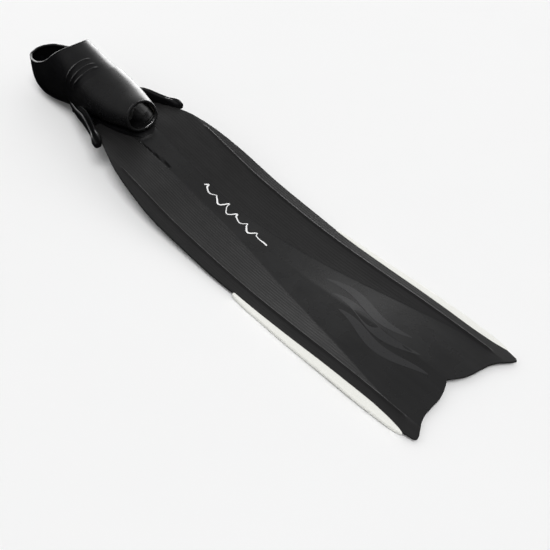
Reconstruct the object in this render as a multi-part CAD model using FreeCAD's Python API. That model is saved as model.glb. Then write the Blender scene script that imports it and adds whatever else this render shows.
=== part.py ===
import FreeCAD, Part
import math
import os

# A long free-diving fin: a soft full-foot pocket, a moulded blade screwed under its toe,
# and two white edge rails.  Millimetres.
# +X runs from heel to blade tip, +Y is the wearer's left, +Z is up.
# The fin lies on its heel and its rails, so the foot pocket's toe stands highest off the floor.

V = FreeCAD.Vector

# ---------------------------------------------------------------- driving dimensions
LENGTH = 902.0
TIP_X = LENGTH / 2
HEEL_X = -LENGTH / 2

# Blade, seen from the side: height of the two long ribs above the floor, (x, z).
RIB_LINE = [(-262, 43), (-235, 55), (-205, 60.5), (-177, 60), (-128, 52), (-76, 41), (-24, 29.2),
            (70, 17), (166, 11.4), (237, 11.8), (308, 13.6), (380, 13.2), (TIP_X, 11.2)]
# How far the middle channel's floor and the centre crease lie below the ribs.
CHANNEL_DROP = [(-262, 4), (-235, 13), (-205, 14.5), (-177, 11), (-128, 11), (-24, 10.2), (70, 9.2),
                (166, 8.2), (308, 5.5), (TIP_X, 4)]
CREASE_DROP = [(-262, 4), (-235, 13), (-205, 14.5), (-177, 11), (-128, 11), (-24, 10.2), (70, 9),
               (166, 7.2), (308, 0.8), (TIP_X, 0)]
CHANNEL_HALF = [(-262, 21), (80, 21), (166, 34), (345, 63), (TIP_X, 68)]
BLADE_THICK = [(-262, 4), (-100, 3.8), (TIP_X, 2.2)]

# Blade, seen from above.
ROOT_X = -262.0
ROOT_HALF = 27.0
SHOULDER_X = -235.0
BLADE_OUTLINE = [(SHOULDER_X, 47), (-205, 58), (-177, 68.3), (-138, 80.5), (-62, 91.8), (33, 93), (128, 92),
                 (139.5, 91.4)]
WAIST_X = -241.0
RAIL_OUTLINE = [(139.5, 94.5), (158, 96), (200, 97.4), (254, 98.8), (308, 99.2), (394, 98.2), (420, 96.4),
                (434, 93.4)]
RAIL_INNER = [(139.5, 90), (232, 89), (337, 87.5), (392, 87.2), (414, 88.6), (434, 91.4)]
TIP_HALF = 89.6
# The swallow-tail tip edge from the middle of the notch to the corner, (y, x).
TIP_EDGE = [(0, 417.5), (12, 424.5), (26, 430), (45, 432.8), (58, 435.3), (67, 439.3), (76, 445.5)]

RIB_Y = 75.0
RIB_WIDTH = 2.4
RIB_HEIGHT = 1.7
RIB_SINK = 1.0
RIB_CHAMFER = 0.6
RIB_START_X = -127.0
RIB_END_X = 424.0
# Beyond the ribs the blade slopes down; its skin is made wider than the outline and then trimmed.
FLANGE_SLOPE = 0.2
SKIN_HALF = 115.0
SKIN_STATIONS = 12

# Blade bending: the two halves of the blade are parted by a narrow slot across the bend axis.
FLEX_X = 70.0
FLEX_GAP = 6.4

# Edge rails, a little thicker than the blade edge that they grip.
RAIL_TOP_DROP = 1.6
RAIL_SLOPE = 0.16
RAIL_THICK = 5.8
RAIL_BAND = (80.0, 110.0)
RAIL_REACH = (130.0, 440.0)
LOFT_STATIONS = 9

# Foot pocket, seen from the side: lower and upper outline and half width along x.
POCKET_LOW = [(HEEL_X, 34), (-447, 18), (-437, 6), (-424, 1.2), (-400, 2.2), (-350, 15), (-300, 31),
              (-250, 43), (-200, 51), (-150, 55)]
POCKET_HIGH = [(HEEL_X, 100), (-440, 112), (-400, 128), (-350, 133), (-324, 126), (-290, 115.5),
               (-250, 105), (-205, 97), (-182, 95), (-150, 90)]
POCKET_HALF = [(HEEL_X, 9), (-447, 19), (-437, 27), (-415, 32), (-380, 34), (-340, 36), (-300, 38),
               (-260, 39.5), (-225, 37), (-195, 32), (-172, 26.5), (-150, 22)]
# The section is a superellipse: its exponent above and, along x, below its widest line.
POCKET_ROUNDNESS = 2.1
POCKET_SQUARENESS = [(-420, 2.6), (-250, 2.5), (-200, 2.1)]
POCKET_WIDEST = 0.42
POCKET_STATIONS = [HEEL_X, -449, -444, -437, -427, -412, -392, -366, -340, -315, -290, -265, -240,
                   -218, -198, -180, -165, -150]
POCKET_POINTS = 20
HEEL_BEND_X = -420.0
WALL = 3.4
TOE_WALL = 4.6
SOLE_THICK = 5.0
# Height of the foot bed, and of the line where upper and sole meet, above the pocket's lower outline.
WALL_ALONG = [(-240, WALL), (-195, TOE_WALL)]
BED_RISE = [(-300, SOLE_THICK + WALL), (-200, TOE_WALL)]
WELT_RISE = [(-260, SOLE_THICK), (-215, -2.0)]
WELT_START_X = -480.0
WELT_STATIONS = [-430, -400, -350, -300, -260, -237, -215, -150]

ANKLE_RIM = [(-470, 66), (-430, 66), (-400, 75), (-370, 93), (-346, 112), (-324, 126), (-300, 146)]
TOE_RIM_TOP_X = -181.0
TOE_RIM_LOW_X = -168.0
TOE_RIM_LOW_Z = 54.0
TOE_RIM_TOP_Z = 97.0
# The joint between the soft heel cup and the firmer toe vamp leans back down the side of the foot.
SEAM_TOP = (-262.0, 110.0)
SEAM_LOW = (-322.0, 30.0)

# Outsole under the toe, which clamps the blade's root from below.
SOLE_LOW = [(-322, 22), (-300, 24), (-262, 29), (-205, 37), (-176, 41), (-158, 41)]
SOLE_TOP = [(-322, 28), (-290, 37.5), (-250, 47), (-200, 53.5), (-180, 55), (-172, 53), (-165, 49.5),
            (-158, 46)]
SOLE_FRONT_PLAN = [(-328, 30), (-281, 33), (-246, 32), (-205, 30.5), (-184, 26), (-170, 17), (-160, 5)]
TREAD_COUNT = 9
TREAD_PITCH = 13.0
TREAD_WIDTH = 4.0
TREAD_DEPTH = 1.4
TREAD_START_X = -318.0
TREAD_CUTTER = 20.0
HEEL_PAD_X = -417.0
HEEL_PAD_R = 13.0
HEEL_PAD_THICK = 3.0

# Side tendons: centre line from the pocket's flank to the blade's shoulder, (x, y, z, width, height).
TENDON = [(-318, 31, 40, 8, 12), (-281, 42, 48, 10, 18), (-245, 51, 57, 10, 22), (-211, 61.5, 58, 10, 17),
          (-190, 68.5, 58.5, 10, 13), (-183, 71, 58, 9, 11)]
TENDON_POINTS = 12
TENDON_SQUARENESS = 3.0

# Screws that hold the blade's root.
SCREW_X = -236.0
SCREW_Y = 13.0
SCREW_R = 2.0
SCREW_HEAD_R = 4.2
SCREW_HEAD_H = 2.6
SCREW_LENGTH = 16.0
SCREW_SLOT = (1.0, 1.2)
SCREW_RECESS = 0.6
WASHER_R = 5.0
WASHER_H = 0.8
INSERT_R = 4.0
INSERT_H = 5.0
INSERT_SINK = 0.2
BLADE_HOLE_R = 2.2

FAR = 400.0


# ---------------------------------------------------------------- curve helpers
def along(knots, x):
    """Smooth value at x of a curve through the knots, level beyond its ends."""
    xs = [k[0] for k in knots]
    ys = [k[1] for k in knots]
    if x <= xs[0]:
        return ys[0]
    if x >= xs[-1]:
        return ys[-1]
    rise = [(ys[i + 1] - ys[i]) / (xs[i + 1] - xs[i]) for i in range(len(xs) - 1)]
    slope = [rise[0]]
    for i in range(1, len(rise)):
        before = xs[i] - xs[i - 1]
        after = xs[i + 1] - xs[i]
        slope.append((rise[i - 1] * after + rise[i] * before) / (before + after))
    slope.append(rise[-1])
    i = max(j for j in range(len(rise)) if xs[j] <= x)
    h = xs[i + 1] - xs[i]
    t = (x - xs[i]) / h
    value = (2 * t**3 - 3 * t**2 + 1) * ys[i]
    value += (t**3 - 2 * t**2 + t) * h * slope[i]
    value += (3 * t**2 - 2 * t**3) * ys[i + 1]
    value += (t**3 - t**2) * h * slope[i + 1]
    return value


def spread(start, end, count):
    """count evenly spaced values from start to end."""
    return [start + (end - start) * i / (count - 1) for i in range(count)]


def spline_edge(points):
    """An open smooth edge through the points."""
    curve = Part.BSplineCurve()
    curve.interpolate(points)
    return curve.toShape()


def closed_spline(points):
    """A closed smooth wire through the points."""
    curve = Part.BSplineCurve()
    curve.interpolate(points, True)
    return Part.Wire([curve.toShape()])


def polygon(points):
    """A closed wire of straight edges."""
    return Part.makePolygon(points + [points[0]])


def prism(wire, direction):
    """A solid: the wire's flat face pushed along the direction."""
    return Part.Face(wire).extrude(direction)


def cylinder(radius, height, x, y, z):
    """An upright cylinder that stands on (x, y, z)."""
    return Part.makeCylinder(radius, height, V(x, y, z))


def mirrored(shape):
    """The shape's twin on the other side of the centre plane."""
    return shape.mirror(V(0, 0, 0), V(0, 1, 0))


# ---------------------------------------------------------------- blade
def blade_top(x, y):
    """Height of the blade's upper skin, without its ribs."""
    rib = along(RIB_LINE, x)
    half = along(CHANNEL_HALF, x)
    floor = rib - along(CHANNEL_DROP, x)
    crease = rib - along(CREASE_DROP, x)
    panel = rib - RIB_HEIGHT
    side = abs(y)
    if side <= half:
        return crease + (floor - crease) * side / half
    if side <= RIB_Y:
        return floor + (panel - floor) * (side - half) / (RIB_Y - half)
    return panel - FLANGE_SLOPE * (side - RIB_Y)


def blade_section(x):
    """Closed polygon of the blade's skin at x, wider than the blade."""
    half = along(CHANNEL_HALF, x)
    thick = along(BLADE_THICK, x)
    stations = [-SKIN_HALF, -RIB_Y, -half, 0.0, half, RIB_Y, SKIN_HALF]
    top = [V(x, y, blade_top(x, y)) for y in stations]
    low = [V(x, y, blade_top(x, y) - thick) for y in reversed(stations)]
    return polygon(top + low)


def blade_slab(start, end):
    """The blade's skin between two stations, before it is trimmed to its outline."""
    wires = [blade_section(x) for x in spread(start, end, SKIN_STATIONS)]
    return Part.makeLoft(wires, True, False)


def edge_points(knots, side):
    """Outline points on one side of the fin, at z = 0."""
    return [V(x, side * y, 0) for x, y in knots]


def blade_plan():
    """The blade's outline as a tall prism."""
    edges = []
    for side in (1, -1):
        root = V(ROOT_X, side * ROOT_HALF, 0)
        waist = V(WAIST_X, side * ROOT_HALF, 0)
        outline = edge_points(BLADE_OUTLINE, side)
        inner = edge_points(RAIL_INNER, side)
        corner = V(TIP_X, side * TIP_HALF, 0)
        notch_side = [V(x, side * y, 0) for y, x in TIP_EDGE]
        edges.append(Part.makeLine(root, waist))
        edges.append(Part.makeLine(waist, outline[0]))
        edges.append(spline_edge(outline))
        edges.append(Part.makeLine(outline[-1], inner[0]))
        edges.append(spline_edge(inner))
        edges.append(Part.makeLine(inner[-1], corner))
        edges.append(Part.makeLine(corner, notch_side[-1]))
        edges.append(spline_edge(notch_side))
    edges.append(Part.makeLine(V(ROOT_X, -ROOT_HALF, 0), V(ROOT_X, ROOT_HALF, 0)))
    wire = Part.Wire(Part.__sortEdges__(edges))
    solid = Part.Face(wire).extrude(V(0, 0, FAR))
    solid.translate(V(0, 0, -FAR / 2))
    return solid


def rib(side, start, end):
    """One raised rib along the blade, sunk a little into the skin."""
    wires = []
    left = side * RIB_Y - RIB_WIDTH / 2
    right = side * RIB_Y + RIB_WIDTH / 2
    for x in spread(start, end, LOFT_STATIONS):
        crest = along(RIB_LINE, x)
        low = crest - RIB_HEIGHT - RIB_SINK
        base = [V(x, left, low), V(x, right, low)]
        top = [V(x, right - RIB_CHAMFER, crest), V(x, left + RIB_CHAMFER, crest)]
        wires.append(polygon(base + top))
    return Part.makeLoft(wires, True, False)


def make_blades():
    """Root half and tip half of the blade."""
    plan = blade_plan()
    inner_end = FLEX_X - FLEX_GAP / 2
    outer_start = FLEX_X + FLEX_GAP / 2
    inner = blade_slab(ROOT_X, inner_end).common(plan)
    outer = blade_slab(outer_start, TIP_X).common(plan)
    for side in (1, -1):
        inner = inner.fuse(rib(side, RIB_START_X, inner_end))
        outer = outer.fuse(rib(side, outer_start, RIB_END_X))
    for side in (1, -1):
        inner = inner.cut(cylinder(BLADE_HOLE_R, 2 * FAR, SCREW_X, side * SCREW_Y, -FAR))
    return inner.removeSplitter(), outer.removeSplitter()


# ---------------------------------------------------------------- edge rails
def rail_section(x):
    """Closed polygon of the left rail's band at x, wider than the rail."""
    crest = along(RIB_LINE, x) - RAIL_TOP_DROP
    top = [V(x, y, crest - RAIL_SLOPE * (y - RIB_Y)) for y in RAIL_BAND]
    low = [point - V(0, 0, RAIL_THICK) for point in reversed(top)]
    return polygon(top + low)


def make_left_rail():
    """The white strip that runs along the blade's edge from its middle to its tip."""
    wires = [rail_section(x) for x in spread(*RAIL_REACH, LOFT_STATIONS)]
    band = Part.makeLoft(wires, True, False)
    outer = edge_points(RAIL_OUTLINE, 1)
    inner = edge_points(RAIL_INNER, 1)
    edges = [spline_edge(outer), Part.makeLine(outer[-1], inner[-1]), spline_edge(inner),
             Part.makeLine(inner[0], outer[0])]
    plan = Part.Face(Part.Wire(Part.__sortEdges__(edges))).extrude(V(0, 0, FAR))
    plan.translate(V(0, 0, -FAR / 2))
    return band.common(plan)


# ---------------------------------------------------------------- foot pocket
def pocket_section(x, wall, rise):
    """Rounded closed section of the pocket at x, drawn in by the wall and raised at its lower edge."""
    low = along(POCKET_LOW, x) + rise
    high = along(POCKET_HIGH, x) - wall
    half = max(along(POCKET_HALF, x) - wall, 2.0)
    middle = low + POCKET_WIDEST * (high - low)
    points = []
    for i in range(POCKET_POINTS):
        angle = 2 * math.pi * i / POCKET_POINTS
        c = math.cos(angle)
        s = math.sin(angle)
        power = along(POCKET_SQUARENESS, x) if s < 0 else POCKET_ROUNDNESS
        reach = (abs(c) ** power + abs(s) ** power) ** (-1 / power)
        height = (high - middle) if s >= 0 else (middle - low)
        points.append(V(x, half * c * reach, middle + height * s * reach))
    return closed_spline(points)


def pocket_body():
    """The pocket's full outer form, with no hollow and no openings."""
    wires = [pocket_section(x, 0, 0) for x in POCKET_STATIONS]
    return Part.makeLoft(wires, True, False)


def pocket_hollow():
    """The space for the foot, open at the toe end."""
    wires = []
    for x in POCKET_STATIONS[1:]:
        wire = pocket_section(x, along(WALL_ALONG, x), along(BED_RISE, x))
        if x < HEEL_BEND_X:
            wire.translate(V(WALL, 0, 0))
        wires.append(wire)
    return Part.makeLoft(wires, True, False)


def above_ankle_rim():
    """Everything above the scooped ankle opening."""
    points = [V(x, -FAR, z) for x, z in ANKLE_RIM]
    first = points[0]
    last = points[-1]
    edges = [spline_edge(points), Part.makeLine(last, V(last.x, -FAR, FAR)),
             Part.makeLine(V(last.x, -FAR, FAR), V(first.x, -FAR, FAR)),
             Part.makeLine(V(first.x, -FAR, FAR), first)]
    return prism(Part.Wire(edges), V(0, 2 * FAR, 0))


def beyond_toe_rim():
    """Everything in front of the leaning toe opening."""
    lean = (TOE_RIM_TOP_X - TOE_RIM_LOW_X) / (TOE_RIM_TOP_Z - TOE_RIM_LOW_Z)
    low = V(TOE_RIM_LOW_X - lean * FAR, -FAR, TOE_RIM_LOW_Z - FAR)
    top = V(TOE_RIM_LOW_X + lean * FAR, -FAR, TOE_RIM_LOW_Z + FAR)
    corners = [low, V(FAR, -FAR, low.z), V(FAR, -FAR, top.z), top]
    return prism(polygon(corners), V(0, 2 * FAR, 0))


def behind_seam():
    """Everything behind the leaning joint between heel cup and toe vamp."""
    lean = (SEAM_TOP[0] - SEAM_LOW[0]) / (SEAM_TOP[1] - SEAM_LOW[1])
    low = V(SEAM_LOW[0] - lean * FAR, -FAR, SEAM_LOW[1] - FAR)
    top = V(SEAM_LOW[0] + lean * FAR, -FAR, SEAM_LOW[1] + FAR)
    corners = [low, top, V(-3 * FAR, -FAR, top.z), V(-3 * FAR, -FAR, low.z)]
    return prism(polygon(corners), V(0, 2 * FAR, 0))


def below_welt():
    """Everything lower than the line where the upper meets the sole."""
    points = [V(WELT_START_X, -FAR, POCKET_LOW[3][1] + SOLE_THICK)]
    points += [V(x, -FAR, along(POCKET_LOW, x) + along(WELT_RISE, x)) for x in WELT_STATIONS]
    edges = [spline_edge(points), Part.makeLine(points[-1], V(points[-1].x, -FAR, -FAR)),
             Part.makeLine(V(points[-1].x, -FAR, -FAR), V(points[0].x, -FAR, -FAR)),
             Part.makeLine(V(points[0].x, -FAR, -FAR), points[0])]
    return prism(Part.Wire(edges), V(0, 2 * FAR, 0))


def sole_front():
    """The wedge under the toe, before it is hollowed for the blade's root."""
    upper = [V(x, -FAR, z) for x, z in SOLE_TOP]
    lower = [V(x, -FAR, z) for x, z in SOLE_LOW]
    edges = [spline_edge(upper), Part.makeLine(upper[-1], lower[-1]), spline_edge(lower),
             Part.makeLine(lower[0], upper[0])]
    profile = prism(Part.Wire(Part.__sortEdges__(edges)), V(0, 2 * FAR, 0))
    left = edge_points(SOLE_FRONT_PLAN, 1)
    right = edge_points(SOLE_FRONT_PLAN, -1)
    outline = [spline_edge(left), spline_edge(right), Part.makeLine(left[0], right[0]),
               Part.makeLine(left[-1], right[-1])]
    plan = Part.Face(Part.Wire(Part.__sortEdges__(outline))).extrude(V(0, 0, FAR))
    return profile.common(plan)


def heel_pad():
    """Flat round pad that the heel stands on."""
    return Part.makeCylinder(HEEL_PAD_R, HEEL_PAD_THICK, V(HEEL_PAD_X, 0, 0))


def tread_grooves():
    """Cross grooves cut into the sole under the ball of the foot."""
    grooves = []
    for i in range(TREAD_COUNT):
        x = TREAD_START_X + i * TREAD_PITCH
        skin = SOLE_LOW if x > SOLE_LOW[1][0] else POCKET_LOW
        corner = V(x, -FAR, along(skin, x) + TREAD_DEPTH - TREAD_CUTTER)
        grooves.append(Part.makeBox(TREAD_WIDTH, 2 * FAR, TREAD_CUTTER, corner))
    return grooves


def make_tendon():
    """The left tendon: a firm arm from the pocket's flank to the blade's shoulder."""
    wires = []
    for x, y, z, width, height in TENDON:
        points = []
        for i in range(TENDON_POINTS):
            angle = 2 * math.pi * i / TENDON_POINTS
            c = math.cos(angle)
            s = math.sin(angle)
            reach = (abs(c) ** TENDON_SQUARENESS + abs(s) ** TENDON_SQUARENESS) ** (-1 / TENDON_SQUARENESS)
            points.append(V(x, y + width / 2 * c * reach, z + height / 2 * s * reach))
        wires.append(closed_spline(points))
    return Part.makeLoft(wires, True, False)


# ---------------------------------------------------------------- fasteners
def head_base():
    """Height of the screw heads' lower face, a little inside the sole."""
    return along(SOLE_LOW, SCREW_X) + SCREW_RECESS


def insert_base():
    """Height of the threaded inserts' lower face."""
    return along(POCKET_LOW, SCREW_X) - INSERT_SINK


def make_screws():
    """Two pan-head screws that come up through the sole and the blade's root."""
    slot_width, slot_depth = SCREW_SLOT
    parts = []
    for side in (1, -1):
        y = side * SCREW_Y
        head = cylinder(SCREW_HEAD_R, SCREW_HEAD_H, SCREW_X, y, head_base())
        corner = V(SCREW_X - SCREW_HEAD_R, y - slot_width / 2, head_base())
        slot = Part.makeBox(2 * SCREW_HEAD_R, slot_width, slot_depth, corner)
        shank = cylinder(SCREW_R, SCREW_LENGTH - slot_depth, SCREW_X, y, head_base() + slot_depth)
        parts.append(head.cut(slot).fuse(shank))
    return Part.makeCompound(parts)


def make_washers():
    """The two washers under the screw heads."""
    base = head_base() + SCREW_HEAD_H
    rings = []
    for side in (1, -1):
        ring = cylinder(WASHER_R, WASHER_H, SCREW_X, side * SCREW_Y, base)
        rings.append(ring.cut(cylinder(SCREW_R, WASHER_H, SCREW_X, side * SCREW_Y, base)))
    return Part.makeCompound(rings)


def make_inserts():
    """The two threaded inserts moulded into the sole above the blade's root."""
    rings = []
    for side in (1, -1):
        body = cylinder(INSERT_R, INSERT_H, SCREW_X, side * SCREW_Y, insert_base())
        rings.append(body.cut(cylinder(SCREW_R, INSERT_H, SCREW_X, side * SCREW_Y, insert_base())))
    return Part.makeCompound(rings)


def fastener_room():
    """Space that the screws, washers and inserts take out of the sole and the vamp."""
    seat = head_base() + SCREW_HEAD_H + WASHER_H
    room = []
    for side in (1, -1):
        y = side * SCREW_Y
        room.append(cylinder(WASHER_R, seat, SCREW_X, y, 0))
        room.append(cylinder(SCREW_R, head_base() + SCREW_LENGTH, SCREW_X, y, 0))
        room.append(cylinder(INSERT_R, INSERT_H, SCREW_X, y, insert_base()))
    return room


# ---------------------------------------------------------------- build
def build():
    """All the fin's pieces by name."""
    blade_inner, blade_outer = make_blades()
    body = pocket_body()
    blade_inner = blade_inner.cut(body)
    shell = body.cut(pocket_hollow()).cut(above_ankle_rim()).cut(beyond_toe_rim())
    welt = below_welt()
    lower = shell.common(welt)
    upper = shell.cut(welt)
    heel_cup = upper.common(behind_seam())
    toe_vamp = upper.cut(behind_seam())
    sole = lower.fuse(sole_front().cut(upper)).fuse(heel_pad()).cut(blade_inner)
    for groove in tread_grooves():
        sole = sole.cut(groove)
    for room in fastener_room():
        sole = sole.cut(room)
        toe_vamp = toe_vamp.cut(room)
    left_tendon = make_tendon().cut(body).cut(sole).cut(blade_inner)
    left_rail = make_left_rail()
    return {
        "heel_cup": heel_cup,
        "toe_vamp": toe_vamp,
        "sole_plate": sole,
        "left_tendon": left_tendon,
        "right_tendon": mirrored(left_tendon),
        "blade_inner": blade_inner,
        "blade_outer": blade_outer,
        "left_edge_rail": left_rail,
        "right_edge_rail": mirrored(left_rail),
        "blade_screws": make_screws(),
        "screw_washers": make_washers(),
        "threaded_inserts": make_inserts(),
    }


def write(nodes):
    """One STEP file per piece."""
    os.makedirs("parts", exist_ok=True)
    for name, shape in nodes.items():
        box = shape.optimalBoundingBox(True)
        print(name, "solids", len(shape.Solids), "volume", round(shape.Volume), "valid", shape.isValid(),
              "x", round(box.XMin), round(box.XMax), "y", round(box.YMin), round(box.YMax),
              "z", round(box.ZMin, 1), round(box.ZMax, 1))
        shape.exportStep("parts/" + name + ".step")


write(build())
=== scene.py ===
import math
from functools import lru_cache

import bmesh
import bpy
from mathutils import Matrix, Vector


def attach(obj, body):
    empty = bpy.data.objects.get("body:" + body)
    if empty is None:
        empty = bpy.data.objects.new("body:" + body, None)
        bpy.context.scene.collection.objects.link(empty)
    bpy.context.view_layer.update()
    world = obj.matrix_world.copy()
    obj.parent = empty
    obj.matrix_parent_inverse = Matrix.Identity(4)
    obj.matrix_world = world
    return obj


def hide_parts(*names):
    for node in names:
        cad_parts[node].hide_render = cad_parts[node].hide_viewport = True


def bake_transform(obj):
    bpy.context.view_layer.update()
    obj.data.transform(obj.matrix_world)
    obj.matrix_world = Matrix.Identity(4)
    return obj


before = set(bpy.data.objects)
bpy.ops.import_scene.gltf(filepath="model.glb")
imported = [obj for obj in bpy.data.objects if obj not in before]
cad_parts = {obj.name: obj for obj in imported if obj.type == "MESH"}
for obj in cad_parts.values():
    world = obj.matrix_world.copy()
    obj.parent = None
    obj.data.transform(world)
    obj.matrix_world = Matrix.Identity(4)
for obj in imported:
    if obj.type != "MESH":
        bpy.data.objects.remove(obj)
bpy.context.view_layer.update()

# A long swim fin: a soft foot pocket, a ribbed blade with a notched tip, white edge rails.
# +X runs from heel to blade tip, +Y is the wearer's left, +Z is up.
# Shapes are worked out in millimetres, as in the CAD model, and stored in metres.

MM = 0.001
SHARP_ANGLE = 38.0

# ---------------------------------------------------------------- driving dimensions, mm
TIP_X = 451.0
HEEL_X = -451.0

# Blade, seen from the side: the ribs' height, and how far channel and crease lie below them.
RIB_LINE = [(-262, 43), (-235, 55), (-205, 60.5), (-177, 60), (-128, 52), (-76, 41), (-24, 29.2),
            (70, 17), (166, 11.4), (237, 11.8), (308, 13.6), (380, 13.2), (TIP_X, 11.2)]
CHANNEL_DROP = [(-262, 4), (-235, 13), (-205, 14.5), (-177, 11), (-128, 11), (-24, 10.2), (70, 9.2),
                (166, 8.2), (308, 5.2), (400, 3.2), (TIP_X, 2)]
CREASE_DROP = [(-262, 4), (-235, 13), (-205, 14.5), (-177, 11), (-128, 11), (-24, 10.2), (70, 9),
               (166, 7.2), (308, 0.8), (TIP_X, 0)]
CHANNEL_HALF = [(-262, 21), (80, 21), (166, 34), (308, 58), (385, 71.5), (TIP_X, 73)]
BLADE_THICK = [(-262, 4), (-100, 3.8), (TIP_X, 2.2)]

# Blade, seen from above: half width along x, and the swallow-tail tip edge as (y, x).
ROOT_X = -262.0
RAIL_START_X = 139.5
RAIL_END_X = 434.0
BLADE_HALF = [(ROOT_X, 27), (-241, 32), (-235, 47), (-205, 58), (-177, 68.3), (-138, 80.5), (-62, 91.8),
              (33, 93), (128, 92), (RAIL_START_X, 91.4)]
RAIL_INNER = [(RAIL_START_X, 90), (232, 89), (337, 87.5), (392, 87.2), (414, 88.6), (RAIL_END_X, 91.4)]
RAIL_OUTER = [(RAIL_START_X, 94.5), (158, 96), (200, 97.4), (254, 98.8), (308, 99.2), (394, 98.2),
              (420, 96.4), (RAIL_END_X, 93.4)]
TIP_HALF = [(RAIL_END_X, 92.2), (443, 91), (TIP_X, 89.6)]
RAIL_GRIP = 0.8
TIP_EDGE = [(0, 417.5), (12, 424.5), (26, 430), (45, 432.8), (58, 435.3), (67, 439.3), (76, 445.5),
            (84, 450.2), (87.2, 450.6), (89.6, 448)]
TIP_SHAPED_X = 395.0

# Blade mesh: rows along it, columns across it, and how its edge is rounded.
ROW_STEP = 3.0
TIP_ROWS = (2.0, 0.9, 0.3, 0.0)
CHANNEL_COLUMNS = (0.0, 14.0, 8)
SLOT_COLUMNS = (15.0, 21.0, 17)
RIB_COLUMNS = 9
EDGE_COLUMNS = (92.0, 92.6)
COLUMN_END = 93.2
COLUMN_GAP = 0.2
EDGE_BAND = 3.0
EDGE_ROUND = 0.9
EDGE_FLATNESS = 0.8

# Ribs, and the fine flutes moulded beside them.
RIB_Y = 75.0
RIB_HEIGHT = 2.4
RIB_HALF = 2.6
RIB_START_X = -127.0
RIB_END_X = 424.0
RIB_FADE = 8.0
FLANGE_SLOPE = 0.1
FLUTE_PITCH = 4.0
FLUTE_DEPTH = 0.12
FLUTE_HALF = 0.9
FLUTE_COUNT = 14
FLUTE_CLEAR = (2.0, 5.0)
FLUTE_START_X = -228.0
FLUTE_END_X = 352.0
FLUTE_FADES = (10.0, 15.0)
FLANGE_FLUTES = [79.5, 83.0, 86.5, 90.0]

# Slot beside the channel near the toe: place, size, and its narrow end's share of the width.
SLOT_X = (-156.0, -94.0)
SLOT_DEPTH = 3.4
SLOT_WIDTH = 5.8
SLOT_NARROW = 0.45
SLOT_END = 4.0
SLOT_LIP = 0.5

# Blade surface: the weave's pitch, and how far the glossy channel spreads past its border.
WEAVE_PITCH = 2.0
CHANNEL_EDGE = 1.5

# Edge rails.
RAIL_TOP_DROP = 1.6
RAIL_SLOPE = 0.12
RAIL_THICK = 5.8
RAIL_POINTS = 28
RAIL_SQUARENESS = 4
RAIL_STATIONS = 90
RAIL_BLUNT = 4.0
RAIL_POINT = 8.0

# Foot pocket, seen from the side and from above, within a few millimetres of the CAD model.
POCKET_LOW = [(HEEL_X, 34), (-447, 18), (-437, 6), (-424, 1.2), (-400, 2.2), (-350, 15), (-300, 31),
              (-250, 43), (-205, 51), (-180, 55), (-150, 60)]
POCKET_HIGH = [(HEEL_X, 100), (-440, 112), (-400, 128), (-350, 130), (-330, 124.5), (-290, 114.5),
               (-250, 105), (-205, 97), (-182, 95), (-150, 90)]
POCKET_HALF = [(HEEL_X, 9), (-447, 19), (-437, 27.5), (-415, 34), (-380, 36.5), (-340, 37), (-300, 38),
               (-260, 39.5), (-225, 36), (-195, 30), (-172, 23.5), (-150, 19)]
POCKET_ROUNDNESS = [(-400, 2.1), (-350, 2.5), (-320, 2.4), (-285, 2.1)]
POCKET_SQUARENESS = [(-420, 2.6), (-250, 2.5), (-200, 2.0)]
POCKET_WIDEST = 0.42
WELT_RISE = [(-260, 5), (-215, -2)]
WELT_LEVEL_X = -424.0
WELT_OVERLAP = 1.2
THROAT_X = -330.0
ANKLE_RIM = [(-470, 66), (-430, 65.5), (-400, 74.5), (-370, 92), (-350, 110), (-338, 119.5),
             (THROAT_X, 124.5), (-300, 150)]
TOE_RIM_TOP = (-181.0, 97.0)
TOE_RIM_LOW = (-168.0, 57.0)
SKIN_COLUMNS = 84

# Bellows pleats on the instep: (angle round the pocket, x), where they fade, lean and section.
PLEATS = [[(16, -314), (50, -303), (90, -293.5)],
          [(16, -303), (50, -291.5), (90, -282)],
          [(16, -294), (50, -281.5), (90, -273.5)]]
PLEAT_START = (14.0, 23.0)
PLEAT_END = (76.0, 89.0)
PLEAT_LEAN = 30.0
PLEAT_HALF = 2.1
PLEAT_HEIGHT = 1.7

# Seam between heel cup and toe vamp, their walls, and their lips.
SEAM_TOP = (-262.0, 110.0)
SEAM_LOW = (-322.0, 30.0)
SEAM_OVERLAP = 3.0
WALL = 3.4
VAMP_PROUD = 1.8
SHELL_PROUD = 0.4
ANKLE_LIP_R = 2.1
TOE_LIP_R = 2.2

# Side tendons: centre line, (x, y, z, width, height), and the section in halves of width and height.
TENDON = [(-318, 31, 40, 8, 12), (-281, 42, 48, 11, 18), (-245, 52, 57, 12, 22), (-211, 62.5, 58, 11.5, 16),
          (-201, 66.3, 58, 11.5, 14.5), (-195, 68.5, 58, 14.5, 16.5), (-185, 71.5, 57.3, 14.5, 15),
          (-180.5, 73, 56.5, 10.5, 10.5)]
TENDON_TOP = [(-1.0, 0.4), (-0.92, 0.8), (-0.7, 1.0), (-0.45, 1.0), (-0.28, 0.75), (-0.1, 0.3), (0.05, 0.15),
              (0.2, 0.3), (0.4, 0.62), (0.62, 0.72), (0.85, 0.6), (1.0, 0.3)]
TENDON_BASE = [(1.0, -0.35), (0.8, -0.85), (0.4, -1.0), (-0.4, -1.0), (-0.8, -0.85), (-1.0, -0.35)]
TENDON_STATIONS = 40

# Printed wave mark: where it starts, its length, swell and number of crests.
WAVE_START = -46.0
WAVE_LENGTH = 146.0
WAVE_HEIGHT = 6.5
WAVE_CRESTS = 6.5
WAVE_WIDTH = 1.8

# Printed swell bands: the first one's start, the step between them, length and width.
BAND_COUNT = 3
BAND_START = (196.0, 18.0)
BAND_STEP = (26.0, -18.0)
BAND_LENGTH = 150.0
BAND_WAVE = 7.0
BAND_WIDTH = 13.0

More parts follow.
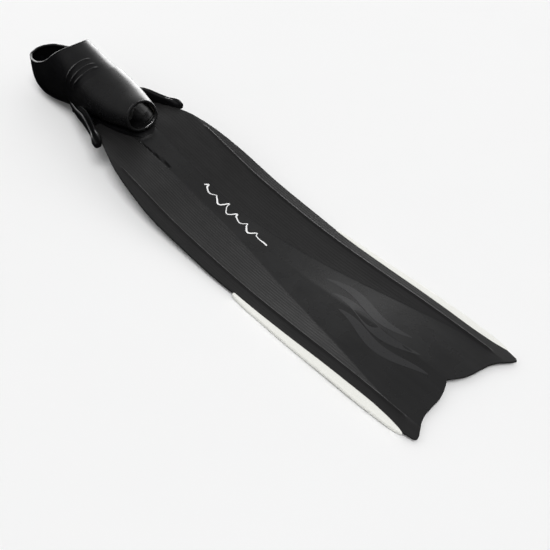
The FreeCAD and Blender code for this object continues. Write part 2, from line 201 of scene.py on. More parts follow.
# Colours, linear.
BLADE_COLOR = (0.014, 0.0138, 0.014)
CHANNEL_COLOR = (0.011, 0.011, 0.0113)
SOFT_COLOR = (0.004, 0.004, 0.0045)
GLOSS_COLOR = (0.006, 0.006, 0.0063)
# Darker rubber for the pocket's inner faces: painted shade inside the pocket.
POCKET_SHADE_COLOR = (0.003, 0.003, 0.0032)
TENDON_COLOR = (0.005, 0.005, 0.0055)
SOLE_COLOR = (0.004, 0.004, 0.0044)
RAIL_COLORS = ((0.80, 0.80, 0.75), (0.86, 0.86, 0.82), (0.90, 0.90, 0.86))
WHITE_INK = (0.93, 0.93, 0.93)
GREY_INK = (0.022, 0.022, 0.023)
STEEL_COLOR = (0.6, 0.6, 0.62)
BRASS_COLOR = (0.7, 0.55, 0.25)
FLOOR_COLORS = ((0.925, 0.925, 0.925), (0.93, 0.93, 0.93), (0.935, 0.935, 0.935))
FLOOR_HALF = 4000.0

# Light: the sky's level from the horizon up, the pale haze seen past the floor, and the soft sun.
SKY_RANGE = (0.0, 0.53)
SKY_RISE = (-0.05, 0.55)
HAZE = 0.9
KEY_STRENGTH = 1.83
KEY_DIRECTION = (-0.5, 0.3, -1.0)
KEY_SPREAD = 25.0
# Cards of light: name, place, aim, width and height in metres, watts, width of the beam in degrees.
LIGHT_CARDS = [
    ("sheen_card", (-2.45, 1.4, 0.95), (-0.1, 0.0, 0.0), 3.4, 2.1, 24.0, 180.0),
    ("heel_card", (-2.4, 0.0, 0.3), (-0.4, 0.0, 0.05), 1.6, 0.9, 18.0, 180.0),
    ("edge_card", (-1.6, 2.1, 0.1), (-0.2, 0.0, 0.05), 3.2, 1.2, 66.0, 180.0),
    ("low_card", (-1.1, 1.7, -0.95), (-0.2, 0.0, 0.05), 2.6, 1.5, 34.0, 180.0),
    ("toe_glint", (-0.180, 0.006, 0.088), (-0.185, 0.006, 0.0635), 0.012, 0.012, 0.03, 80.0),
]

# Camera: place in metres, turn in degrees, lens in millimetres.
CAMERA_PLACE = (0.85598, -0.65043, 0.89369)
CAMERA_YAW = 138.704
CAMERA_PITCH = -43.290
CAMERA_ROLL = -0.136
CAMERA_LENS = 65.35


# ---------------------------------------------------------------- helpers
def along(knots, x):
    """Smooth value at x of a curve through the knots, level beyond its ends."""
    xs = [k[0] for k in knots]
    ys = [k[1] for k in knots]
    if x <= xs[0]:
        return ys[0]
    if x >= xs[-1]:
        return ys[-1]
    rise = [(ys[i + 1] - ys[i]) / (xs[i + 1] - xs[i]) for i in range(len(xs) - 1)]
    slope = [rise[0]]
    for i in range(1, len(rise)):
        before = xs[i] - xs[i - 1]
        after = xs[i + 1] - xs[i]
        slope.append((rise[i - 1] * after + rise[i] * before) / (before + after))
    slope.append(rise[-1])
    i = max(j for j in range(len(rise)) if xs[j] <= x)
    h = xs[i + 1] - xs[i]
    t = (x - xs[i]) / h
    value = (2 * t**3 - 3 * t**2 + 1) * ys[i]
    value += (t**3 - 2 * t**2 + t) * h * slope[i]
    value += (3 * t**2 - 2 * t**3) * ys[i + 1]
    value += (t**3 - t**2) * h * slope[i + 1]
    return value


def spread(start, end, count):
    """count evenly spaced values from start to end."""
    return [start + (end - start) * i / (count - 1) for i in range(count)]


def ease(value, low, high):
    """0 below low, 1 above high, smooth between them."""
    t = min(max((value - low) / (high - low), 0.0), 1.0)
    return t * t * (3 - 2 * t)


def new_object(name, points, faces, sharp=SHARP_ANGLE):
    """A mesh object from millimetre points, smooth but for edges sharper than the angle."""
    mesh = bpy.data.meshes.new(name)
    mesh.from_pydata([(x * MM, y * MM, z * MM) for x, y, z in points], [], faces)
    obj = bpy.data.objects.new(name, mesh)
    bpy.context.scene.collection.objects.link(obj)
    finish_mesh(obj, sharp)
    return obj


def finish_mesh(obj, sharp=SHARP_ANGLE):
    """Merges doubled points, turns the faces outwards and smooths the shading."""
    work = bmesh.new()
    work.from_mesh(obj.data)
    bmesh.ops.remove_doubles(work, verts=work.verts, dist=0.00001)
    bmesh.ops.recalc_face_normals(work, faces=work.faces)
    work.to_mesh(obj.data)
    work.free()
    obj.data.shade_smooth()
    obj.data.set_sharp_from_angle(angle=math.radians(sharp))


def apply_modifiers(obj):
    """Bakes the object's modifiers into its mesh."""
    graph = bpy.context.evaluated_depsgraph_get()
    mesh = bpy.data.meshes.new_from_object(obj.evaluated_get(graph))
    obj.modifiers.clear()
    obj.data = mesh


def grid_faces(rows, columns, start=0, closed=False):
    """Quads of a rows by columns grid of points, whose columns may run round."""
    faces = []
    last = columns if closed else columns - 1
    for i in range(rows - 1):
        for j in range(last):
            k = (j + 1) % columns
            a = start + i * columns
            b = a + columns
            faces.append((a + j, a + k, b + k, b + j))
    return faces


def loft(name, sections, sharp):
    """A closed solid through rings of equal point counts, with flat ends."""
    count = len(sections[0])
    points = [point for ring in sections for point in ring]
    faces = grid_faces(len(sections), count, closed=True)
    faces.append(tuple(range(count)))
    faces.append(tuple(range(len(points) - count, len(points))))
    return new_object(name, points, faces, sharp)


# ---------------------------------------------------------------- blade
def blade_half(x):
    """Half width of the blade at x."""
    if x < RAIL_START_X:
        return along(BLADE_HALF, x)
    if x < RAIL_END_X:
        return along(RAIL_INNER, x) + RAIL_GRIP
    return along(TIP_HALF, x)


def blade_columns():
    """Distances from the middle at which the blade's skin has a line of points."""
    values = set(spread(*CHANNEL_COLUMNS) + spread(*SLOT_COLUMNS))
    centres = [RIB_Y - FLUTE_PITCH * k for k in range(1, FLUTE_COUNT + 1)]
    for centre in centres + FLANGE_FLUTES:
        values.update(centre + FLUTE_HALF * t for t in (-1.0, -0.5, 0.0, 0.5, 1.0))
        values.add(centre + FLUTE_PITCH / 2)
    values.update(RIB_Y + RIB_HALF * t for t in spread(-1.0, 1.0, RIB_COLUMNS))
    values.update(EDGE_COLUMNS)
    values.add(COLUMN_END)
    columns = []
    for value in sorted(values):
        if not columns or value - columns[-1] > COLUMN_GAP:
            columns.append(value)
    return [-value for value in reversed(columns[1:])] + columns


def blade_rows():
    """Stations along the blade, closer together where the tip's edge is rounded."""
    count = round((TIP_X - ROOT_X) / ROW_STEP)
    return spread(ROOT_X, TIP_X - TIP_ROWS[0], count) + [TIP_X - back for back in TIP_ROWS[1:]]


def squeezed(side, half):
    """The column distance drawn in where the blade is narrower than its columns."""
    inner = half - EDGE_BAND
    if side <= inner:
        return side
    return inner + EDGE_BAND * (side - inner) / (COLUMN_END - inner)


def skin(row, side):
    """Height of the blade's plain upper skin at a distance from the middle."""
    if side <= row["half"]:
        return row["crease"] + (row["floor"] - row["crease"]) * side / row["half"]
    if side <= RIB_Y:
        share = (side - row["half"]) / (RIB_Y - row["half"])
        return row["floor"] + (row["panel"] - row["floor"]) * share
    return row["panel"] - FLANGE_SLOPE * (side - RIB_Y)


@lru_cache(maxsize=None)
def blade_row(x):
    """The channel's half width and the heights that shape the blade's section at x."""
    rib = along(RIB_LINE, x)
    return {
        "half": along(CHANNEL_HALF, x),
        "floor": rib - along(CHANNEL_DROP, x),
        "crease": rib - along(CREASE_DROP, x),
        "panel": rib - RIB_HEIGHT,
    }


def flute(distance):
    """Depth share of a rounded groove at a distance from its middle."""
    t = abs(distance) / FLUTE_HALF
    return 0.5 + 0.5 * math.cos(math.pi * t) if t < 1 else 0.0


def between(x, start, end, fade_in, fade_out):
    """1 from start to end, smooth down to 0 at both, over the lengths of the fades."""
    return ease(x, start, start + fade_in) * (1 - ease(x, end - fade_out, end))


def rib_rise(x, side):
    """Height of the rounded rib above the plain skin."""
    distance = abs(side - RIB_Y)
    if distance >= RIB_HALF:
        return 0.0
    section = 0.5 + 0.5 * math.cos(math.pi * distance / RIB_HALF)
    return RIB_HEIGHT * between(x, RIB_START_X, RIB_END_X, RIB_FADE, RIB_FADE) * section


def flute_depth(x, side, channel_half):
    """Depth of the fine flutes on the side panels and on the flanges outside the ribs."""
    depth = FLUTE_DEPTH * between(x, FLUTE_START_X, FLUTE_END_X, *FLUTE_FADES)
    near, far = (channel_half + clear for clear in FLUTE_CLEAR)
    if near < side < RIB_Y - FLUTE_PITCH / 2:
        offset = (RIB_Y - side + FLUTE_PITCH / 2) % FLUTE_PITCH - FLUTE_PITCH / 2
        return depth * ease(side, near, far) * flute(offset)
    if side > RIB_Y + RIB_HALF:
        return depth * max(flute(side - line) for line in FLANGE_FLUTES)
    return 0.0


def slot_depth(x, y, channel_half):
    """Depth of the tapering slot at the channel's right-hand border near the toe."""
    start, end = SLOT_X
    inset = channel_half + y
    width = SLOT_WIDTH * (SLOT_NARROW + (1 - SLOT_NARROW) * ease(x, start, end))
    if not start < x < end or not 0 < inset < width:
        return 0.0
    ends = between(x, start, end, SLOT_END, SLOT_END)
    return SLOT_DEPTH * ends * min(1.0, inset / SLOT_LIP, (width - inset) / SLOT_LIP)


def moulding(x, y, channel_half):
    """Height of ribs, flutes and the slot above the plain skin."""
    side = abs(y)
    return rib_rise(x, side) - flute_depth(x, side, channel_half) - slot_depth(x, y, channel_half)


def edge_fall(distance):
    """How far the skin drops to round the blade's edge, by the distance from it."""
    if distance >= EDGE_ROUND:
        return 0.0
    t = 1 - max(distance, 0.0) / EDGE_ROUND
    return EDGE_ROUND * (1 - math.sqrt(1 - t * t)) * EDGE_FLATNESS


def tip_place(x, side):
    """Where a row's point lies along the blade: the last rows follow the notched tip."""
    if x <= TIP_SHAPED_X:
        return x
    share = (x - TIP_SHAPED_X) / (TIP_X - TIP_SHAPED_X)
    return TIP_SHAPED_X + share * (along(TIP_EDGE, side) - TIP_SHAPED_X)


def sheet_faces(rows, count):
    """Faces of a closed sheet: upper grid, lower grid, and the strips round its four sides."""
    size = rows * count
    faces = grid_faces(rows, count)
    faces += [tuple(size + k for k in reversed(face)) for face in faces]
    for j in range(count - 1):
        last = size - count + j
        faces.append((j, j + 1, size + j + 1, size + j))
        faces.append((last + 1, last, size + last, size + last + 1))
    for i in range(rows - 1):
        a = i * count
        b = a + count
        faces.append((b, a, size + a, size + b))
        faces.append((a + count - 1, b + count - 1, size + b + count - 1, size + a + count - 1))
    return faces


def make_blade():
    """The whole blade as one closed mesh."""
    columns = blade_columns()
    rows = blade_rows()
    upper = []
    lower = []
    for x in rows:
        half = blade_half(x)
        for column in columns:
            side = squeezed(abs(column), half)
            y = math.copysign(side, column)
            place = tip_place(x, side)
            row = blade_row(place)
            plain = skin(row, side)
            fall = max(edge_fall(half - side), edge_fall(TIP_X - x))
            upper.append((place, y, plain + moulding(place, y, row["half"]) - fall))
            lower.append((place, y, plain - along(BLADE_THICK, place) + fall))
    return new_object("blade", upper + lower, sheet_faces(len(rows), len(columns)))


def blade_height(x, y):
    """Height of the blade's upper skin at a place."""
    return skin(blade_row(x), abs(y))


# ---------------------------------------------------------------- edge rails
def rail_ring(x, width_x, scale=1.0):
    """Rounded oblong section of a rail at x, as wide as the rail is at width_x, scaled."""
    inner = along(RAIL_INNER, width_x)
    outer = along(RAIL_OUTER, width_x)
    middle = (inner + outer) / 2
    half = (outer - inner) / 2 * scale
    top = along(RIB_LINE, x) - RAIL_TOP_DROP - RAIL_SLOPE * (middle - RIB_Y)
    ring = []
    for i in range(RAIL_POINTS):
        angle = 2 * math.pi * i / RAIL_POINTS
        c = math.cos(angle)
        s = math.sin(angle)
        reach = (abs(c) ** RAIL_SQUARENESS + abs(s) ** RAIL_SQUARENESS) ** (-1 / RAIL_SQUARENESS)
        across = half * c * reach
        up = RAIL_THICK / 2 * s * reach * (0.35 + 0.65 * scale)
        ring.append((x, middle + across, top - RAIL_THICK / 2 + up - RAIL_SLOPE * across))
    return ring


def make_rail(side):
    """The white strip on one edge, with a blunt start and a rounded point."""
    rings = []
    for scale in (0.75, 0.93, 1.0):
        rings.append(rail_ring(RAIL_START_X + 4.8 * (scale - 0.75), RAIL_START_X, scale))
    for x in spread(RAIL_START_X + RAIL_BLUNT, RAIL_END_X - RAIL_POINT, RAIL_STATIONS):
        rings.append(rail_ring(x, x))
    for k in (0.35, 0.6, 0.8, 0.92, 0.99):
        x = RAIL_END_X - RAIL_POINT * (1 - k)
        rings.append(rail_ring(x, x, math.sqrt(1 - k * k)))
    rings = [[(x, side * y, z) for x, y, z in ring] for ring in rings]
    return loft("left_edge_strip" if side > 0 else "right_edge_strip", rings, 50.0)


# ---------------------------------------------------------------- foot pocket
def pocket_heights(x):
    """Lower outline, widest line and upper outline of the pocket at x."""
    low = along(POCKET_LOW, x)
    high = along(POCKET_HIGH, x)
    return low, low + POCKET_WIDEST * (high - low), high


def angle_at(x, z):
    """Angle round the pocket's section at which its skin is at height z."""
    low, middle, high = pocket_heights(x)
    share = (z - middle) / ((high - middle) if z >= middle else (middle - low))
    if abs(share) >= 1:
        return math.copysign(math.pi / 2, share)
    power = along(POCKET_ROUNDNESS if share >= 0 else POCKET_SQUARENESS, x)
    rest = (1 - abs(share) ** power) ** (1 / power)
    return math.atan2(share, rest)


def pocket_point(x, angle, half, proud):
    """Point on the pocket's skin, moved out by proud; half is 0 at the heel's closing line."""
    low, middle, high = pocket_heights(x)
    c = math.cos(angle)
    s = math.sin(angle)
    power = along(POCKET_SQUARENESS if s < 0 else POCKET_ROUNDNESS, x)
    reach = (abs(c) ** power + abs(s) ** power) ** (-1 / power)
    rise = (high - middle) if s >= 0 else (middle - low)
    wide = half + proud if half > 0 else 0.0
    return x, wide * c * reach, middle + (rise + proud) * s * reach


def toe_rim_z(x):
    """Height of the leaning toe opening at x."""
    share = (x - TOE_RIM_TOP[0]) / (TOE_RIM_LOW[0] - TOE_RIM_TOP[0])
    return TOE_RIM_TOP[1] + share * (TOE_RIM_LOW[1] - TOE_RIM_TOP[1])


def pocket_span(x):
    """First and last angle of the upper's skin at x: from the welt up to the opening's rim."""
    welt = along(POCKET_LOW, max(x, WELT_LEVEL_X)) + along(WELT_RISE, x) - WELT_OVERLAP
    first = angle_at(x, welt)
    last = math.pi / 2
    if x < THROAT_X:
        last = angle_at(x, along(ANKLE_RIM, x))
    elif x > TOE_RIM_TOP[0]:
        last = angle_at(x, toe_rim_z(x))
    return first, last


def pocket_stations():
    """Stations along the pocket, closer together at the heel, the throat and the toe."""
    stations = [(HEEL_X - 0.9 * math.sqrt(1 - k * k), 9 * k) for k in (0.0, 0.3, 0.6, 0.8, 0.92)]
    places = spread(HEEL_X, -437, 15) + spread(-435, -340, 48) + spread(-338.5, THROAT_X - 0.5, 26)
    places += spread(THROAT_X, -263, 72) + spread(-261, TOE_RIM_TOP[0] - 1, 40)
    places += spread(TOE_RIM_TOP[0], TOE_RIM_LOW[0], 24)
    stations += [(x, along(POCKET_HALF, x)) for x in places]
    return stations


def pleat_height(x, angle):
    """Height of the moulded bellows pleats over the instep; the angle is 90 at the top."""
    height = 0.0
    for pleat in PLEATS:
        apart = abs(x - along(pleat, math.degrees(angle))) * math.cos(math.radians(PLEAT_LEAN))
        if apart < PLEAT_HALF:
            height = max(height, PLEAT_HEIGHT * (1 - (apart / PLEAT_HALF) ** 2))
    slant = math.degrees(angle)
    return height * ease(slant, *PLEAT_START) * (1 - ease(slant, *PLEAT_END))


def make_pocket_skin(proud, pleated):
    """The pocket's outer skin from the welt to the rims, with pleats on the wearer's right."""
    stations = pocket_stations()
    points = []
    faces = []
    for side in (1, -1):
        block = grid_faces(len(stations), SKIN_COLUMNS, len(points))
        faces += block if side > 0 else [tuple(reversed(face)) for face in block]
        for x, half in stations:
            first, last = pocket_span(x)
            for angle in spread(first, last, SKIN_COLUMNS):
                relief = pleat_height(x, angle) if pleated and side < 0 else 0.0
                x, y, z = pocket_point(x, angle, half, proud + relief)
                points.append((x, side * y, z))
    return new_object("pocket_skin", points, faces)


def cut_at_seam(obj, keep_front):
    """Keeps the skin in front of the leaning seam, or behind it and a little way under it."""
    lean = Vector((SEAM_TOP[0] - SEAM_LOW[0], 0.0, SEAM_TOP[1] - SEAM_LOW[1]))
    normal = Vector((lean.z, 0.0, -lean.x)).normalized()
    centre = Vector((SEAM_LOW[0] * MM, 0.0, SEAM_LOW[1] * MM))
    if not keep_front:
        centre += normal * SEAM_OVERLAP * MM
    work = bmesh.new()
    work.from_mesh(obj.data)
    geometry = work.verts[:] + work.edges[:] + work.faces[:]
    bmesh.ops.bisect_plane(work, geom=geometry, plane_co=centre, plane_no=normal,
                           clear_inner=keep_front, clear_outer=not keep_front)
    work.to_mesh(obj.data)
    work.free()


def thicken(obj, wall):
    """Gives the skin its wall, inwards."""
    solid = obj.modifiers.new("wall", "SOLIDIFY")
    solid.thickness = wall * MM
    solid.offset = -1.0
    solid.use_even_offset = True
    solid.thickness_clamp = 1.0
    apply_modifiers(obj)


def paint_pocket_shade(obj, pocket_shade):
    """Gives the faces that look into the pocket a darker, duller rubber: painted shade inside the pocket."""
    obj.data.materials.append(pocket_shade)
    for face in obj.data.polygons:
        centre = face.center / MM
        outward = Vector((0.0, centre.y, centre.z - pocket_heights(centre.x)[1]))
        if face.normal.dot(outward) < 0:
            face.material_index = 1


def make_shell(name, keep_front, proud, wall):
    """One wall of the pocket: the toe vamp in front of the seam, or the heel cup behind it."""
    obj = make_pocket_skin(proud, not keep_front)
    obj.name = name
    cut_at_seam(obj, keep_front)
    thicken(obj, wall)
    finish_mesh(obj, 50.0)
    return obj


def rim_tube(name, path, radius):
    """A rounded lip along a path of millimetre points."""
    curve = bpy.data.curves.new(name, "CURVE")
    curve.dimensions = "3D"
    curve.bevel_depth = radius * MM
    curve.bevel_resolution = 4
    curve.use_fill_caps = True
    spline = curve.splines.new("POLY")
    spline.points.add(len(path) - 1)
    for point, place in zip(spline.points, path):
        point.co = (*(value * MM for value in place), 1.0)
    holder = bpy.data.objects.new(name, curve)
    bpy.context.scene.collection.objects.link(holder)
    graph = bpy.context.evaluated_depsgraph_get()
    mesh = bpy.data.meshes.new_from_object(holder.evaluated_get(graph))
    bpy.data.objects.remove(holder)
    tube = bpy.data.objects.new(name, mesh)
    bpy.context.scene.collection.objects.link(tube)
    finish_mesh(tube, 60.0)
    return tube


def make_lip(name, start, end, proud, radius):
    """Rounded lip along the skin's rim between two stations, on both sides."""
    rim = []
    for x, half in pocket_stations():
        if start <= x <= end:
            rim.append(pocket_point(x, pocket_span(x)[1], half, proud - WALL / 2))
    path = [(x, -y, z) for x, y, z in reversed(rim)] + rim[1:]
    return rim_tube(name, path, radius)


# ---------------------------------------------------------------- tendons
def tendon_ring(x, y, z, width, height):
    """Section of a tendon: a lower outer band and a taller inner ridge, with a groove between."""
    return [(x, y + t * width / 2, z + up * height / 2) for t, up in TENDON_TOP + TENDON_BASE]


def make_tendon(side):
    """One side arm from the pocket's flank to the blade's shoulder."""
    stations = spread(TENDON[0][0], TENDON[-1][0], TENDON_STATIONS)
    columns = [[(knot[0], knot[k]) for knot in TENDON] for k in range(5)]
    rings = []
    for x in stations:
        y, z, width, height = (along(columns[k], x) for k in (1, 2, 3, 4))
        rings.append(tendon_ring(x, side * y, z, side * width, height))
    return loft("left_tendon_arm" if side > 0 else "right_tendon_arm", rings, 60.0)


# ---------------------------------------------------------------- printed marks
def ribbon(name, path, widths, lift=0.1):
    """A flat printed line that follows the blade's skin."""
    points = []
    for i, (x, y) in enumerate(path):
        before = path[max(i - 1, 0)]
        after = path[min(i + 1, len(path) - 1)]
        run = Vector((after[0] - before[0], after[1] - before[1])).normalized()
        for t in (-0.5, 0.5):
            px = x - run.y * widths[i] * t
            py = y + run.x * widths[i] * t
            points.append((px, py, blade_height(px, py) + lift))
    return new_object(name, points, grid_faces(len(path), 2))


def wave_line(count=160):
    """A hand-drawn line of leaning wave crests that grow and die away."""
    path = []
    for t in spread(0.0, 1.0, count):
        phase = 2 * math.pi * WAVE_CRESTS * t
        growth = math.sin(math.pi * min(1.0, 0.12 + 0.95 * t)) ** 0.6
        swell = WAVE_HEIGHT * growth * (0.75 + 0.35 * math.cos(17 * t))
        lean = 0.32 * math.sin(2 * phase)
        path.append((WAVE_START + WAVE_LENGTH * t + 0.35 * WAVE_HEIGHT * math.sin(phase + 1.2),
                     8 - 7 * t + swell * (math.sin(phase) + lean)))
    return path


def make_wave_mark():
    """The white wave doodle in the middle channel, its line thicker and thinner by turns."""
    path = wave_line()
    widths = [WAVE_WIDTH + 0.6 * math.sin(9 * math.pi * i / len(path)) for i in range(len(path))]
    return ribbon("wave_mark", path, widths)


def make_swell_bands():
    """Three glossy grey swell bands near the tip, pointed at both ends."""
    bands = []
    for k in range(BAND_COUNT):
        path = []
        widths = []
        for t in spread(0.0, 1.0, 60):
            x = BAND_START[0] + BAND_STEP[0] * k + BAND_LENGTH * t
            swing = BAND_WAVE * math.sin(2 * math.pi * t + 0.6 * k)
            path.append((x, BAND_START[1] + BAND_STEP[1] * k + swing))
            widths.append(0.6 + BAND_WIDTH * math.sin(math.pi * t) ** 0.7)
        bands.append(ribbon("swell_band_" + str(k + 1), path, widths, 0.12))
    return bands


# ---------------------------------------------------------------- materials
def shader(name, color, roughness, specular=0.5):
    """A new material, its node tree and its surface shader."""
    material = bpy.data.materials.new(name)
    material.use_nodes = True
    nodes = material.node_tree.nodes
    surface = nodes["Principled BSDF"]
    surface.inputs["Base Color"].default_value = (*color, 1.0)
    surface.inputs["Roughness"].default_value = roughness
    surface.inputs["Specular IOR Level"].default_value = specular
    return material, material.node_tree, surface


def noise(tree, scale, detail=4.0, roughness=0.55, stretch=(1.0, 1.0, 1.0)):
    """Noise in the object's own space, scale in cells per metre, drawn out where stretch is small."""
    place = tree.nodes.new("ShaderNodeTexCoord")
    mapping = tree.nodes.new("ShaderNodeMapping")
    mapping.inputs["Scale"].default_value = stretch
    texture = tree.nodes.new("ShaderNodeTexNoise")
    texture.inputs["Scale"].default_value = scale
    texture.inputs["Detail"].default_value = detail
    texture.inputs["Roughness"].default_value = roughness
    tree.links.new(place.outputs["Object"], mapping.inputs["Vector"])
    tree.links.new(mapping.outputs["Vector"], texture.inputs["Vector"])
    return texture.outputs["Fac"]


def vary(tree, value, low, high, socket, start=0.3, end=0.7):
    """Drives a number socket from low to high as the value runs from start to end."""
    spreader = tree.nodes.new("ShaderNodeMapRange")
    spreader.inputs["From Min"].default_value = start
    spreader.inputs["From Max"].default_value = end
    spreader.inputs["To Min"].default_value = low
    spreader.inputs["To Max"].default_value = high
    tree.links.new(value, spreader.inputs["Value"])
    tree.links.new(spreader.outputs["Result"], socket)


def tint(tree, value, dark, light, socket):
    """Drives a colour socket between two colours by a texture value."""
    ramp = tree.nodes.new("ShaderNodeValToRGB")
    ramp.color_ramp.elements[0].position = 0.3
    ramp.color_ramp.elements[0].color = (*dark, 1.0)
    ramp.color_ramp.elements[1].position = 0.7
    ramp.color_ramp.elements[1].color = (*light, 1.0)
    tree.links.new(value, ramp.inputs["Fac"])
    tree.links.new(ramp.outputs["Color"], socket)


def roughen(tree, surface, height, strength, distance):
    """Fine surface relief from a texture value, distance in metres."""
    bump = tree.nodes.new("ShaderNodeBump")
    bump.inputs["Strength"].default_value = strength
    bump.inputs["Distance"].default_value = distance
    tree.links.new(height, bump.inputs["Height"])
    tree.links.new(bump.outputs["Normal"], surface.inputs["Normal"])


def scaled(color, factor):
    """The colour made lighter or darker."""
    return tuple(value * factor for value in color)


def rubber(name, color, roughness, grain, relief, specular=0.25):
    """Moulded rubber: cloudy sheen and a fine grain."""
    material, tree, surface = shader(name, color, roughness, specular)
    tint(tree, noise(tree, 38.0), scaled(color, 0.8), scaled(color, 1.25), surface.inputs["Base Color"])
    vary(tree, noise(tree, 60.0, 5.0), roughness - 0.05, roughness + 0.07, surface.inputs["Roughness"])
    roughen(tree, surface, noise(tree, grain, 3.0), relief, 0.00012)
    return material


def blade_plastic(name, color, specular, roughness, woven):
    """Moulded plastic with flow streaks along the blade, and a fine weave or grain."""
    material, tree, surface = shader(name, color, roughness, specular)
    streaks = noise(tree, 90.0, 4.0, 0.6, (0.08, 1.0, 1.0))
    tint(tree, streaks, scaled(color, 0.85), scaled(color, 1.2), surface.inputs["Base Color"])
    vary(tree, noise(tree, 25.0, 6.0), roughness - 0.05, roughness + 0.06, surface.inputs["Roughness"])
    if woven:
        roughen(tree, surface, weave(tree, WEAVE_PITCH * MM), 0.5, 0.0002)
    else:
        roughen(tree, surface, noise(tree, 2400.0, 2.0), 0.22, 0.00008)
    return material


def weave(tree, pitch):
    """Height of a fine moulded weave: two crossing sets of waves, pitch in metres."""
    product = tree.nodes.new("ShaderNodeMath")
    product.operation = "MULTIPLY"
    place = tree.nodes.new("ShaderNodeTexCoord")
    for k, axis in enumerate(("X", "Y")):
        wave = tree.nodes.new("ShaderNodeTexWave")
        wave.bands_direction = axis
        wave.inputs["Scale"].default_value = 0.314 / pitch
        tree.links.new(place.outputs["Object"], wave.inputs["Vector"])
        tree.links.new(wave.outputs["Fac"], product.inputs[k])
    return product.outputs["Value"]


def paint_channel(blade, glossy):
    """Gives the smooth middle channel and the tip between the ribs the glossier plastic."""
    blade.data.materials.append(glossy)
    for face in blade.data.polygons:
        centre = face.center / MM
        inside = abs(centre.y) < min(along(CHANNEL_HALF, centre.x) + CHANNEL_EDGE, RIB_Y - RIB_HALF)
        beyond = centre.x > FLUTE_END_X and abs(centre.y) < RIB_Y - RIB_HALF
        if (inside or beyond) and face.normal.z > 0.5:
            face.material_index = 1


def rail_rubber():
    """Off-white rubber with a fine speckled grain."""
    dark, middle, light = RAIL_COLORS
    material, tree, surface = shader("rail_rubber", middle, 0.5)
    tint(tree, noise(tree, 900.0, 3.0), dark, light, surface.inputs["Base Color"])
    vary(tree, noise(tree, 120.0), 0.45, 0.6, surface.inputs["Roughness"])
    roughen(tree, surface, noise(tree, 1400.0, 3.0), 0.35, 0.0002)
    return material


def print_ink(name, color, roughness):
    """Printed ink, slightly uneven."""
    material, tree, surface = shader(name, color, roughness, 0.3)
    tint(tree, noise(tree, 400.0), scaled(color, 0.93), scaled(color, 1.04), surface.inputs["Base Color"])
    vary(tree, noise(tree, 700.0), roughness - 0.04, roughness + 0.06, surface.inputs["Roughness"])
    return material


def metal(name, color, roughness):
    """Turned metal with fine rings of brushing."""
    material, tree, surface = shader(name, color, roughness)
    surface.inputs["Metallic"].default_value = 1.0
    brushing = noise(tree, 1500.0, 2.0, 0.5, (1.0, 1.0, 0.1))
    tint(tree, brushing, scaled(color, 0.85), scaled(color, 1.05), surface.inputs["Base Color"])
    vary(tree, noise(tree, 600.0), roughness - 0.05, roughness + 0.1, surface.inputs["Roughness"])
    roughen(tree, surface, brushing, 0.15, 0.00005)
    return material


def floor_paper():
    """Matt white studio paper."""
    dark, middle, light = FLOOR_COLORS
    material, tree, surface = shader("floor_paper", middle, 0.85, 0.15)
    tint(tree, noise(tree, 3.0), dark, light, surface.inputs["Base Color"])
    return material


def dress(obj, material):
    """Gives an object its only material."""
    obj.data.materials.clear()
    obj.data.materials.append(material)


def dress_cad(node, material):
    """Gives a shown CAD node its material."""
    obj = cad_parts[node]
    if not obj.data.materials:
        obj.data.materials.append(material)
    for k in range(len(obj.material_slots)):
        obj.material_slots[k].material = material


# ---------------------------------------------------------------- stage
def make_floor():
    """Wide plain floor that doesn't show in reflections."""
    size = FLOOR_HALF
    points = [(-size, -size, 0), (size, -size, 0), (size, size, 0), (-size, size, 0)]
    floor = new_object("floor", points, [(0, 1, 2, 3)])
    dress(floor, floor_paper())
    floor.visible_glossy = False


def sun(name, direction, strength, spread_deg):
    """A distant light along the direction, as soft as its spread, with no reflection."""
    light = bpy.data.lights.new(name, "SUN")
    light.energy = strength
    light.angle = math.radians(spread_deg)
    holder = bpy.data.objects.new(name, light)
    holder.rotation_euler = Vector(direction).to_track_quat("-Z", "Y").to_euler()
    holder.visible_glossy = False
    bpy.context.scene.collection.objects.link(holder)


def softbox(name, place, target, width, height, power, beam_deg):
    """A rectangular card of light aimed at a point, which shows only as a reflection."""
    light = bpy.data.lights.new(name, "AREA")
    light.shape = "RECTANGLE"
    light.size = width
    light.size_y = height
    light.energy = power
    light.spread = math.radians(beam_deg)
    holder = bpy.data.objects.new(name, light)
    holder.location = place
    aim = Vector(target) - Vector(place)
    holder.rotation_euler = aim.to_track_quat("-Z", "Y").to_euler()
    holder.visible_diffuse = False
    holder.visible_camera = False
    bpy.context.scene.collection.objects.link(holder)


def make_sky():
    """A sky that grows lighter upwards, and a plain pale haze where the camera sees it."""
    world = bpy.data.worlds.new("studio")
    world.use_nodes = True
    background = world.node_tree.nodes["Background"]
    background.inputs["Color"].default_value = (1.0, 1.0, 1.0, 1.0)
    tree = world.node_tree
    direction = tree.nodes.new("ShaderNodeTexCoord")
    split = tree.nodes.new("ShaderNodeSeparateXYZ")
    tree.links.new(direction.outputs["Generated"], split.inputs["Vector"])
    vary(tree, split.outputs["Z"], *SKY_RANGE, background.inputs["Strength"], *SKY_RISE)
    haze = tree.nodes.new("ShaderNodeBackground")
    haze.inputs["Strength"].default_value = HAZE
    seen = tree.nodes.new("ShaderNodeLightPath")
    mixer = tree.nodes.new("ShaderNodeMixShader")
    tree.links.new(seen.outputs["Is Camera Ray"], mixer.inputs["Fac"])
    tree.links.new(background.outputs["Background"], mixer.inputs[1])
    tree.links.new(haze.outputs["Background"], mixer.inputs[2])
    tree.links.new(mixer.outputs["Shader"], tree.nodes["World Output"].inputs["Surface"])
    bpy.context.scene.world = world


def make_lights():
    """Sky, a soft sun, and the cards of light that the fin reflects."""
    make_sky()
    sun("key", KEY_DIRECTION, KEY_STRENGTH, KEY_SPREAD)
    for card in LIGHT_CARDS:
        softbox(*card)
    bpy.context.scene.view_settings.view_transform = "Standard"


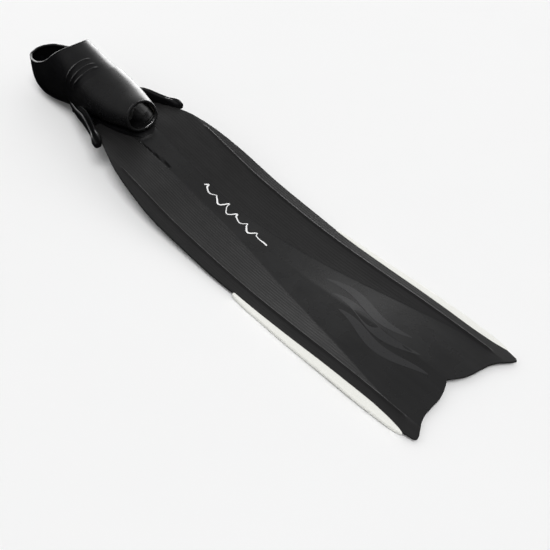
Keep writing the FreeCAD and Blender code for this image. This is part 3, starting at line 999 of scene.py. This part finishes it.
def make_camera():
    """Camera beyond the tip on the wearer's right, looking back and down at the fin."""
    data = bpy.data.cameras.new("camera")
    data.lens = CAMERA_LENS
    data.sensor_width = 36.0
    data.clip_end = 50.0
    holder = bpy.data.objects.new("camera", data)
    yaw = math.radians(CAMERA_YAW)
    pitch = math.radians(CAMERA_PITCH)
    aim = Vector((math.cos(pitch) * math.cos(yaw), math.cos(pitch) * math.sin(yaw), math.sin(pitch)))
    turn = aim.to_track_quat("-Z", "Y").to_matrix().to_4x4()
    turn = turn @ Matrix.Rotation(math.radians(CAMERA_ROLL), 4, "Z")
    turn.translation = Vector(CAMERA_PLACE)
    holder.matrix_world = turn
    bpy.context.scene.collection.objects.link(holder)
    bpy.context.scene.camera = holder


# ---------------------------------------------------------------- assembly
def flexed(obj):
    """Bakes a piece of the blade's placement into its mesh."""
    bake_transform(obj)


def build_blade():
    """Blade, rails and prints."""
    blade = make_blade()
    dress(blade, blade_plastic("blade_plastic", BLADE_COLOR, 0.19, 0.5, True))
    paint_channel(blade, blade_plastic("blade_gloss", CHANNEL_COLOR, 0.24, 0.27, False))
    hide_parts("blade_inner", "blade_outer")
    flexed(blade)
    white = rail_rubber()
    for side, node in ((1, "left_edge_rail"), (-1, "right_edge_rail")):
        rail = make_rail(side)
        dress(rail, white)
        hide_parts(node)
        flexed(rail)
    mark = make_wave_mark()
    dress(mark, print_ink("white_ink", WHITE_INK, 0.5))
    flexed(mark)
    grey = print_ink("grey_ink", GREY_INK, 0.3)
    for band in make_swell_bands():
        dress(band, grey)
        flexed(band)


def build_pocket():
    """Heel cup, toe vamp, their lips, and the tendons."""
    soft = rubber("soft_rubber", SOFT_COLOR, 0.33, 1800.0, 0.12)
    gloss = rubber("gloss_rubber", GLOSS_COLOR, 0.28, 1500.0, 0.08)
    cup = make_shell("heel_cup_skin", False, SHELL_PROUD, WALL)
    vamp = make_shell("toe_vamp_skin", True, VAMP_PROUD, WALL + VAMP_PROUD)
    ankle = make_lip("ankle_lip", HEEL_X - 1, THROAT_X, SHELL_PROUD, ANKLE_LIP_R)
    toe = make_lip("toe_lip", TOE_RIM_TOP[0] - 0.2, TOE_RIM_LOW[0], VAMP_PROUD, TOE_LIP_R)
    for obj, material, slot in ((cup, soft, "soft_rubber"), (ankle, soft, "soft_rubber"),
                                (vamp, gloss, "gloss_rubber"), (toe, gloss, "gloss_rubber")):
        dress(obj, material)
        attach(obj, "foot_pocket")
    # The pocket's inner faces get a darker, duller rubber: painted shade inside the pocket.
    pocket_shade = rubber("pocket_shade_rubber", POCKET_SHADE_COLOR, 0.2, 1800.0, 0.12, 0.06)
    paint_pocket_shade(cup, pocket_shade)
    paint_pocket_shade(vamp, pocket_shade)
    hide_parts("heel_cup")
    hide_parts("toe_vamp")
    firm = rubber("tendon_rubber", TENDON_COLOR, 0.33, 1600.0, 0.2)
    for side, node in ((1, "left_tendon"), (-1, "right_tendon")):
        arm = make_tendon(side)
        dress(arm, firm)
        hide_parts(node)
        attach(arm, "foot_pocket")


def build_cad_looks():
    """Materials of the CAD nodes that stay in view."""
    dress_cad("sole_plate", rubber("sole_rubber", SOLE_COLOR, 0.38, 1400.0, 0.3, 0.2))
    steel = metal("screw_steel", STEEL_COLOR, 0.32)
    dress_cad("blade_screws", steel)
    dress_cad("screw_washers", steel)
    dress_cad("threaded_inserts", metal("insert_brass", BRASS_COLOR, 0.35))


build_blade()
build_pocket()
build_cad_looks()
make_floor()
make_lights()
make_camera()
